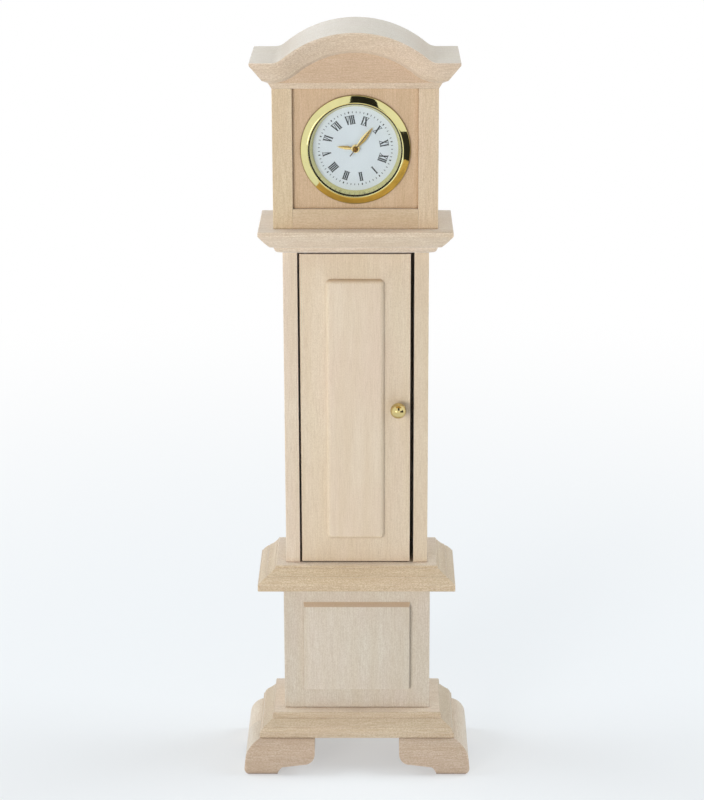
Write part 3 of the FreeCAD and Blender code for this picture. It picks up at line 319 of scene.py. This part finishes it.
# Faces in another tone: the door's panel face and the plinth panel's top in their own tone, the crown's
# front faces darker and its top cooler, and the upward faces of the waist and base mouldings lighter, as
# painted light from above. Each row gives the way they look and how squarely, how far out they lie that way,
# from and to, and the tone
frontward, upward = Vector((0, -1, 0)), Vector((0, 0, 1))
tonedFaces = (
    ("crown_block", frontward, 0.99, 0.0, 7.14, (0.86, 0.76, 0.685)),
    ("crown_block", upward, 0.6, 180.0, 200.0, (0.90, 0.93, 0.95)),
    ("door", frontward, 0.99, 4.5, 5.0, (0.975, 0.962, 0.945)),
    # painted light: the upward faces of the waist and base mouldings are lighter, as if lit from above
    ("waist_moulding", upward, 0.99, 0.0, 100.0, (1.04, 1.05, 1.06)),
    ("base_moulding", upward, 0.99, 0.0, 50.0, (1.09, 1.09, 1.10)),
    ("plinth_panel", upward, 0.7, 0.0, 100.0, (0.99, 0.97, 0.96)),
)
# these run round the corners with their grain, so their sides show hardly any end grain
mitred = ("hood_moulding", "waist_moulding", "base_moulding")
# the angles are in degrees, and the last is the share of the figure left on the toned faces
easing = {"weld": 0.002, "flatAngle": 0.6, "sharpAngle": 24, "segments": 2, "roundness": 0.6,
          "smoothAngle": 22, "tonedFigure": 0.8}


def easedBoard(node, grain, seed, ease, tint, figure):
    bm = bmesh.new()
    bm.from_mesh(nodes[node].data)
    bmesh.ops.remove_doubles(bm, verts=bm.verts, dist=easing["weld"] * mm)
    bmesh.ops.dissolve_limit(bm, angle_limit=math.radians(easing["flatAngle"]),
                             verts=bm.verts, edges=bm.edges)
    least = math.radians(easing["sharpAngle"])
    sharp = [edge for edge in bm.edges
             if len(edge.link_faces) == 2 and edge.calc_face_angle(0) > least]
    bmesh.ops.bevel(bm, geom=sharp, offset=ease * mm, offset_type="OFFSET", segments=easing["segments"],
                    profile=easing["roundness"], affect="EDGES", clamp_overlap=True)
    bmesh.ops.triangulate(bm, faces=[face for face in bm.faces if len(face.verts) > 4])
    endShare = basswood["mitredShare" if node in mitred else "endShare"]
    woods = [woodMaterial(grain, seed, tint, figure, endShare)]
    for board, way, square, low, high, tone in tonedFaces:
        if board == node:
            woods.append(woodMaterial(grain, seed, tone, figure * easing["tonedFigure"],
                                      basswood["endShare"]))
            for face in bm.faces:
                out = face.calc_center_median().dot(way)
                if face.normal.dot(way) > square and low * mm < out < high * mm:
                    face.material_index = len(woods) - 1
    piece = finished(bm, f"eased_{node}", bodyOf[node], *woods, smooth=easing["smoothAngle"], slot="wood")
    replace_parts(piece, node)


for node, row in boards.items():
    easedBoard(node, *row)
print("boards eased")


# The hands turn about this centre, and the XII points to the right and a little down.
# A slanting stroke of a numeral is wider across than it is thick
dial = {
    "centre": (0.0, -5.325, 164.1), "depth": 1.35, "turn": 109.3, "inkBack": 0.001, "inkFront": 0.012,
    "numeralRadius": 7.12, "numeralHeight": 2.2, "thick": 0.33, "thin": 0.16, "widthV": 0.95,
    "widthX": 1.0, "gapInside": 0.12, "serif": 0.11, "serifPast": 0.1, "slant": 1.1,
    "footInside": 0.2, "footOutside": 0.55, "tickRadius": 8.97, "tickWidest": 0.2, "tickHead": 0.3,
    "minuteTick": (0.46, 0.2, 0.8, 1),  # length, width, the foot's share of the width, the ink
    "fiveTick": (0.52, 0.36, 0.35, 0),
}


# A point in front of a centre, turned clockwise about the line that runs straight out of it
def facePoint(x, up, front, turn, centre=dial["centre"]):
    angle = math.radians(turn)
    cx, cy, cz = centre
    return Vector(((cx + x * math.cos(angle) + up * math.sin(angle)) * mm, (cy - front) * mm,
                   (cz - x * math.sin(angle) + up * math.cos(angle)) * mm))


# Turn a closed outline of (radius, front) round a centre, in one material or one for each span
def lathe(bm, profile, steps, centre=dial["centre"], material=0):
    rings = []
    for index in range(steps):
        angle = 360 * index / steps
        rings.append([bm.verts.new(facePoint(0, radius, front, angle, centre)) for radius, front in profile])
    for index in range(steps):
        near, far = rings[index], rings[(index + 1) % steps]
        for span in range(len(profile)):
            after = (span + 1) % len(profile)
            face = bm.faces.new((near[span], near[after], far[after], far[span]))
            face.material_index = material[span] if isinstance(material, list) else material


# A flat shape from its front corners and its back corners
def slab(bm, front, back, material=0):
    faces = [bm.faces.new(front), bm.faces.new(list(reversed(back)))]
    for index in range(len(front)):
        after = (index + 1) % len(front)
        faces.append(bm.faces.new((front[index], back[index], back[after], front[after])))
    for face in faces:
        face.material_index = material


# Bezel: the outside of its rim is in a dark brown gilt, a painted shade line round its edge
bezel = {
    "outside": ((10.45, -1.33), (11.24, -1.33), (11.24, 0.0), (13.46, 0.0), (13.5, 0.04), (13.5, 0.34)),
    "flank": ((13.45, 0.46), (13.3, 0.58), (12.9, 0.81), (12.4, 1.07), (12.0, 1.26), (11.8, 1.345),
              (11.68, 1.36), (11.58, 1.33), (11.52, 1.24)),
    # the seat is a dark seal, drawn wider than the seal to hold painted shade where the wall falls in shadow
    "seat": ((11.5, 1.1), (11.5, 0.56)),
    "wall": ((11.2, 0.55), (10.9, -0.3), (10.6, -0.95), (10.45, -1.31)),
    "steps": 180, "smoothAngle": 40,
}
profile, tones = [], []
for part, tone in (("outside", 1), ("flank", 0), ("seat", 3), ("wall", 2)):
    profile += bezel[part]
    tones += [tone] * len(bezel[part])
bm = bmesh.new()
lathe(bm, profile, bezel["steps"], material=tones)
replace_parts(finished(bm, "turned_bezel", "clock_insert", gilt, paintedShadeRim, giltWall, sealBlack,
                     smooth=bezel["smoothAngle"], slot="gilt"), "insert_bezel")

# Crystal: mineral glass with eased edges
crystal = {
    "profile": ((0.02, 1.14), (11.36, 1.14), (11.46, 1.06), (11.46, 0.66), (11.36, 0.57), (0.02, 0.57)),
    "steps": 120, "smoothAngle": 30, "tint": (0.985, 0.99, 0.99), "roughness": 0.02,
    "shine": 0.012, "edgeBlend": 0.5, "edgePower": 5.0, "edgeShine": 0.6,
}


# Glass to see through, with the surface's own reflection
def crystalMaterial():
    material = bpy.data.materials.new("clear crystal")
    material.use_nodes = True
    tree = material.node_tree
    tree.nodes.remove(tree.nodes["Principled BSDF"])
    facing = addNode(tree, "ShaderNodeLayerWeight", {"Blend": crystal["edgeBlend"]})
    edgeOn = mathNode(tree, "POWER", facing.outputs["Facing"], crystal["edgePower"])
    share = mathNode(tree, "MULTIPLY_ADD", edgeOn, crystal["edgeShine"], crystal["shine"])
    clear = addNode(tree, "ShaderNodeBsdfTransparent", {"Color": (*crystal["tint"], 1)})
    shine = addNode(tree, "ShaderNodeBsdfGlossy", {"Roughness": crystal["roughness"]})
    both = addNode(tree, "ShaderNodeMixShader")
    for socket, source in enumerate((share, clear.outputs[0], shine.outputs[0])):
        tree.links.new(source, both.inputs[socket])
    tree.links.new(both.outputs[0], tree.nodes["Material Output"].inputs["Surface"])
    return material


bm = bmesh.new()
lathe(bm, crystal["profile"], crystal["steps"])
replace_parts(finished(bm, "eased_crystal", "clock_insert", crystalMaterial(),
                     smooth=crystal["smoothAngle"], slot="glass"), "insert_crystal")
print("bezel and crystal turned")

# Dial: a thin plate with its printing as raised ink
nodes["insert_dial"].data.materials.clear()
nodes["insert_dial"].data.materials.append(dialPaint)


# One shape of ink, from corners about its own place on the dial's ring, turned with the ring
def inkShape(bm, corners, radius, turn, material=0):
    angle = math.radians(turn)
    sine, cosine = math.sin(angle), math.cos(angle)
    middle = Vector((radius * sine, radius * cosine))

    def put(x, up, front):
        sheetX = middle.x + x * cosine + up * sine
        sheetUp = middle.y - x * sine + up * cosine
        return bm.verts.new(facePoint(sheetX, sheetUp, front - dial["depth"], dial["turn"]))

    front = [put(x, up, dial["inkFront"]) for x, up in corners]
    back = [put(x, up, dial["inkBack"]) for x, up in corners]
    slab(bm, front, back, material)


# The strokes of a Roman numeral about its own middle
def numeralStrokes(text):
    half, thick, thin, serif = dial["numeralHeight"] / 2, dial["thick"], dial["thin"], dial["serif"]
    footIn, slanted, past = dial["footInside"], thick * dial["slant"], dial["serifPast"]
    widths = {"I": thick, "V": dial["widthV"], "X": dial["widthX"]}
    total = sum(widths[letter] for letter in text) + dial["gapInside"] * (len(text) - 1)
    x, strokes = -total / 2, []

    def stroke(footLeft, footRight, headRight, headLeft):
        strokes.append([(footLeft, -half), (footRight, -half), (headRight, half), (headLeft, half)])

    for letter in text:
        right = x + widths[letter]
        if letter == "I":
            stroke(x, right, right, x)
        if letter == "V":
            middle = (x + right) / 2
            stroke(middle - thick * footIn, middle + thick * dial["footOutside"], x + slanted, x)
            stroke(middle - thin * footIn, middle + thin, right, right - thin)
        if letter == "X":
            stroke(right - slanted, right, x + slanted, x)
            stroke(x, x + thin, right, right - thin)
        for low in (half - serif,) if letter == "V" else (-half, half - serif):
            strokes.append([(x - past, low), (right + past, low), (right + past, low + serif),
                            (x - past, low + serif)])
        x = right + dial["gapInside"]
    return strokes


bm = bmesh.new()
for hour, text in enumerate(("XII", "I", "II", "III", "IIII", "V", "VI", "VII", "VIII", "IX", "X", "XI")):
    for corners in numeralStrokes(text):
        inkShape(bm, corners, dial["numeralRadius"], 30 * hour)
for minute in range(60):
    long, wide, foot, ink = dial["minuteTick" if minute % 5 else "fiveTick"]
    rightSide = [(wide * foot / 2, -long / 2), (wide / 2, long * dial["tickWidest"]),
                 (wide * dial["tickHead"], long / 2)]
    leftSide = [(-x, up) for x, up in reversed(rightSide)]
    inkShape(bm, [leftSide[-1], *rightSide, *leftSide[:-1]], dial["tickRadius"], 6 * minute, ink)
finished(bm, "dial_printing", "clock_insert", dialInk, tickInk)
print("dial printed")

# Hands: leaves with a ridge down the middle, the facet right of the ridge in a darker gilt as painted shade,
# so that each has a bright and a dull facet
hands = {
    "minute_hand": {"angle": 38.5, "reach": 6.8, "half": 0.65, "front": 0.74, "boss": 0.75},
    "hour_hand": {"angle": -84, "reach": 4.6, "half": 0.45, "front": 0.42, "boss": 1.05},
}
# Along the leaf: share of the reach and of the width. The boss's edge: in from it, back from its face
leaf = {
    "shares": ((0.0, 0.5), (0.12, 0.5), (0.2, 0.60), (0.28, 0.72), (0.36, 0.9), (0.45, 1.0), (0.55, 0.95),
               (0.66, 0.82), (0.76, 0.64), (0.86, 0.42), (0.95, 0.17), (1.0, 0.02)),
    "ridgeDrop": 0.62, "ridgePast": 0.1, "bore": 0.34, "bossEdge": ((0.0, 0.05), (0.06, 0.005), (0.2, 0.0)),
    "steps": 48, "smoothAngle": 25,
}
handThick = 0.12


def leafHand(node, angle, reach, half, front, boss):
    bm = bmesh.new()
    crest = front - dial["depth"]
    edge, back = crest - handThick * leaf["ridgeDrop"], crest - handThick
    rows = []
    for far, wide in leaf["shares"]:
        up, out = reach * far, half * wide
        rise = edge + (crest - edge) * min(1.0, wide + leaf["ridgePast"])
        section = ((-out, back), (-out, edge), (0, rise), (out, edge), (out, back))
        rows.append([bm.verts.new(facePoint(x, up, depth, angle)) for x, depth in section])
    for near, far in zip(rows, rows[1:]):
        for span in range(len(near)):
            after = (span + 1) % len(near)
            face = bm.faces.new((near[span], near[after], far[after], far[span]))
            # the facet right of the ridge takes the gilt with painted shade
            face.material_index = 1 if span == 2 else 0  # the facet right of the ridge
    bm.faces.new(rows[0])
    bm.faces.new(list(reversed(rows[-1])))
    rim = [(boss - inward, crest - below) for inward, below in leaf["bossEdge"]]
    lathe(bm, [(leaf["bore"], back), (boss, back), *rim, (leaf["bore"], crest)], leaf["steps"])
    piece = finished(bm, f"leaf_{node}", bodyOf[node], handGilt, paintedShadeGilt,
                     smooth=leaf["smoothAngle"], slot="gilt")
    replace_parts(piece, node)


for node, look in hands.items():
    leafHand(node, **look)

# Second hand: a needle under a round cap
needle = {
    "angle": 37.3, "reach": 6.6, "tail": 2.2, "half": 0.12, "taper": 0.7, "point": 0.8, "tip": 0.02,
    "front": 1.08, "sunk": 0.02, "boss": 0.7, "dome": 0.36, "domeStep": 11, "domePoints": 9,
    "pole": 0.01, "steps": 40, "smoothAngle": 30,
}
bm = bmesh.new()
top = needle["front"] - dial["depth"]
half, narrow, neck = needle["half"], needle["half"] * needle["taper"], needle["reach"] - needle["point"]
corners = [(-half, -needle["tail"]), (half, -needle["tail"]), (narrow, neck),
           (needle["tip"], needle["reach"]), (-needle["tip"], needle["reach"]), (-narrow, neck)]
front = [bm.verts.new(facePoint(x, up, top - needle["sunk"], needle["angle"])) for x, up in corners]
back = [bm.verts.new(facePoint(x, up, top - handThick, needle["angle"])) for x, up in corners]
slab(bm, front, back)
rises = [math.radians(step * needle["domeStep"]) for step in range(needle["domePoints"])]
cap = [(needle["boss"] * math.cos(rise), top + needle["dome"] * math.sin(rise)) for rise in rises]
lathe(bm, [(needle["pole"], top - handThick), (needle["boss"], top - handThick), *cap,
           (needle["pole"], top + needle["dome"])], needle["steps"], material=1)
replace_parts(finished(bm, "needle_second_hand", bodyOf["second_hand"], secondDark, hubGold,
                     smooth=needle["smoothAngle"], slot="second_hand"), "second_hand")
print("hands made")

# Door knob: turned ball on a neck and a small collar, with its shank in the door
knobLow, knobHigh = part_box("door_knob")
knob = {
    "x": (knobLow.x + knobHigh.x) / 2 / mm, "face": -3.525, "z": (knobLow.z + knobHigh.z) / 2 / mm,
    "pole": 0.01, "ball": 2.0, "out": 2.6, "ballStep": 6.6, "ballPoints": 24,
    "neck": ((0.75, 0.62), (0.85, 0.48)), "collar": ((1.0, 0.35), (1.2, 0.3), (1.25, 0.2), (1.25, 0.0)),
    "shank": ((0.6, 0.0), (0.6, -2.05), (0.45, -2.2), (0.01, -2.2)), "steps": 64, "smoothAngle": 50,
}
profile = [(knob["pole"], knob["out"] + knob["ball"])]
for step in range(1, knob["ballPoints"] + 1):
    angle = math.radians(step * knob["ballStep"])
    profile.append((knob["ball"] * math.sin(angle), knob["out"] + knob["ball"] * math.cos(angle)))
profile += [*knob["neck"], *knob["collar"], *knob["shank"]]
bm = bmesh.new()
lathe(bm, profile, knob["steps"], (knob["x"], knob["face"], knob["z"]))
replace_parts(finished(bm, "turned_knob", "door", knobBrass, smooth=knob["smoothAngle"], slot="brass"),
            "door_knob")
print("knob turned")

# The hidden pieces keep the frame's shape and take their finish here
finishes = {
    "hinge_pins": pinSteel, "insert_ring": blackRubber, "insert_case": cupMetal, "case_back": cupMetal,
    "movement_plate": plateBrass, "movement_bridge": plateBrass, "rotor": magnetDark,
    "fifth_wheel": wheelBrass, "seconds_wheel": wheelBrass, "third_wheel": wheelBrass,
    "centre_wheel": wheelBrass, "minute_wheel": wheelBrass, "hour_wheel": wheelBrass,
    "stator": statorIron, "coil": copperWire, "circuit_board": circuitGreen, "quartz_can": cellSteel,
    "battery": cellSteel, "battery_clip": plateBrass, "setting_stem": pinSteel,
    "setting_crown": plateBrass, "setting_detent": pinSteel,
}
for node, material in finishes.items():
    nodes[node].data.materials.clear()
    nodes[node].data.materials.append(material)
print("finishes on:", len(finishes), "nodes")

# Studio, in metres: a pale floor that turns white further out, in white surroundings
studio = {
    "floor": (0.80, 0.80, 0.795), "floorHalf": 6.0, "nearRing": (0.06, 0.45), "nearShare": 0.45,
    "matt": 0.9, "floorSpecular": 0.1, "worldLevel": 0.33, "worldColour": (0.93, 0.97, 1.0),
    "softboxCloth": (0.8, 0.8, 0.8), "softboxLight": 1.3, "aim": (0, 0, 0.11),
}
white = (1, 1, 1, 1)


# 1 where the camera, a reflection or clear glass looks, and 0 for the light on the clock
def seenDirectly(tree):
    path = addNode(tree, "ShaderNodeLightPath")
    thrown = mathNode(tree, "MAXIMUM", path.outputs["Is Glossy Ray"], path.outputs["Is Transmission Ray"])
    return mathNode(tree, "MAXIMUM", path.outputs["Is Camera Ray"], thrown)


def mixedShader(tree, factor, first, second, out):
    both = addNode(tree, "ShaderNodeMixShader")
    for socket, source in enumerate((factor, first.outputs[0], second.outputs[0])):
        tree.links.new(source, both.inputs[socket])
    tree.links.new(both.outputs[0], out.inputs["Surface"])


def floorMaterial():
    material, tree, shader = newMaterial("studio floor", studio["floor"], studio["matt"])
    shader.inputs["Specular IOR Level"].default_value = studio["floorSpecular"]
    light = addNode(tree, "ShaderNodeEmission", {"Color": white, "Strength": 1.0})
    place = addNode(tree, "ShaderNodeTexCoord")
    far = addNode(tree, "ShaderNodeVectorMath", operation="LENGTH")
    tree.links.new(place.outputs["Object"], far.inputs[0])
    near, away = studio["nearRing"]
    edge = addNode(tree, "ShaderNodeMapRange", interpolation_type="SMOOTHSTEP", values={
        "From Min": near, "From Max": away, "To Min": studio["nearShare"], "To Max": 1.0})
    tree.links.new(far.outputs["Value"], edge.inputs["Value"])
    share = mathNode(tree, "MULTIPLY", edge.outputs[0], seenDirectly(tree))
    mixedShader(tree, share, shader, light, tree.nodes["Material Output"])
    return material


def stageSheet(name, corners, material):
    mesh = bpy.data.meshes.new(name)
    mesh.from_pydata(corners, [], [tuple(range(len(corners)))])
    mesh.materials.append(material)
    sheet = bpy.data.objects.new(name, mesh)
    bpy.context.scene.collection.objects.link(sheet)
    return sheet


side = studio["floorHalf"]
floorCorners = [(-side, -side, 0), (side, -side, 0), (side, side, 0), (-side, side, 0)]
stageSheet("studio_floor", floorCorners, floorMaterial())

cardBlack = plainMaterial("black card", (0.012, 0.011, 0.010), 0.9, 2.0, 8.0, 0.01, 0.1)
cardWhite, _, shader = newMaterial("softbox cloth", studio["softboxCloth"], studio["matt"])
shader.inputs["Emission Color"].default_value = white
shader.inputs["Emission Strength"].default_value = studio["softboxLight"]
cardAmber = plainMaterial("amber card", (0.850, 0.520, 0.180), 0.9, 0.5, 9.0, 0.01, 0.28)
# Cards out of the picture that only polished metal shows, as painted reflections: the bezel's dark and
# bright stretches, the amber one standing in for the wooden cap below the bezel and the glowing one for the
# key lamp
cards = {
    "overhead_card": (cardBlack, ((-0.056, -0.628, 0.315), (0.239, -0.628, 0.315),
                                  (0.239, -0.312, 0.727), (-0.056, -0.312, 0.727))),
    "side_card": (cardBlack, ((0.29, -0.55, 0.022), (0.29, -0.05, 0.022),
                              (0.48, -0.15, 0.235), (0.48, -0.95, 0.235))),
    "cap_card": (cardAmber, ((-0.018, -0.036, 0.1446), (0.050, -0.036, 0.1446),
                             (0.050, -0.0064, 0.1446), (-0.018, -0.0064, 0.1446))),
    "softbox_card": (cardWhite, ((-0.838, -0.977, 0.0), (-0.402, -1.223, 0.0),
                                 (-0.402, -1.223, 0.47), (-0.838, -0.977, 0.47))),
}
for name, (material, corners) in cards.items():
    card = stageSheet(name, corners, material)
    card.visible_camera = card.visible_diffuse = card.visible_shadow = card.visible_transmission = False

# A soft lamp low at the front left, and others in the colour of the sky at both sides and above:
# place, size, power, colour
day, sky = (1.0, 1.0, 1.0), (0.80, 0.91, 1.0)
lamps = {
    "key lamp": ((-0.62, -1.10, 0.22), 0.55, 9.4, day),
    "fill lamp": ((0.95, 0.15, 0.75), 0.8, 9.4, sky),
    "top lamp": ((-0.15, 0.1, 1.5), 1.2, 1.0, sky),
    "left lamp": ((-0.95, 0.15, 0.75), 0.8, 8.2, sky),
}
for name, (place, size, power, colour) in lamps.items():
    light = bpy.data.lights.new(name, "AREA")
    light.shape = "DISK"
    light.size = size
    light.energy = power
    light.color = colour
    lamp = bpy.data.objects.new(name, light)
    lamp.location = place
    lamp.rotation_euler = (Vector(studio["aim"]) - Vector(place)).to_track_quat("-Z", "Y").to_euler()
    lamp.visible_glossy = False
    bpy.context.scene.collection.objects.link(lamp)

world = bpy.data.worlds.new("studio surround")
bpy.context.scene.world = world
world.use_nodes = True
tree = world.node_tree
tree.nodes.clear()
dim = addNode(tree, "ShaderNodeBackground",
              {"Color": (*studio["worldColour"], 1), "Strength": studio["worldLevel"]})
bright = addNode(tree, "ShaderNodeBackground", {"Color": white, "Strength": 1.0})
mixedShader(tree, seenDirectly(tree), dim, bright, addNode(tree, "ShaderNodeOutputWorld"))

# Camera: fitted to the outline of the case in the photograph. The focal length, the middle and the
# picture are in pixels, the angles in degrees, the distance, the target and the sensor in
# millimetres, and the nearest and furthest that it sees in metres
view = {"focal": 2360.3, "pitch": 17.0, "yaw": -0.2, "roll": -0.07, "distance": 591.9,
        "target": (3.23, -6.305, 107.7), "middle": (369.0, 371.6), "picture": (704, 800),
        "sensor": 36, "nearest": 0.01, "furthest": 50}
pitch, yaw, roll = (math.radians(view[name]) for name in ("pitch", "yaw", "roll"))
turnBack = Matrix.Rotation(-yaw, 3, "Z")
forward = turnBack @ Vector((0, math.cos(pitch), -math.sin(pitch)))
target = turnBack @ Vector(view["target"])
camera = bpy.data.cameras.new("photographer's camera")
camera.sensor_fit = "HORIZONTAL"
camera.sensor_width = view["sensor"]
wide, tall = view["picture"]
camera.lens = view["focal"] * view["sensor"] / wide
camera.shift_x = (wide / 2 - view["middle"][0]) / wide
camera.shift_y = (view["middle"][1] - tall / 2) / wide
camera.clip_start = view["nearest"]
camera.clip_end = view["furthest"]
eye = bpy.data.objects.new("photographer's camera", camera)
turned = forward.to_track_quat("-Z", "Y").to_matrix() @ Matrix.Rotation(roll, 3, "Z")
eye.matrix_world = Matrix.Translation((target - forward * view["distance"]) * mm) @ turned.to_4x4()
bpy.context.scene.collection.objects.link(eye)
bpy.context.scene.camera = eye
bpy.context.scene.view_settings.view_transform = "Standard"
print("studio and camera set")
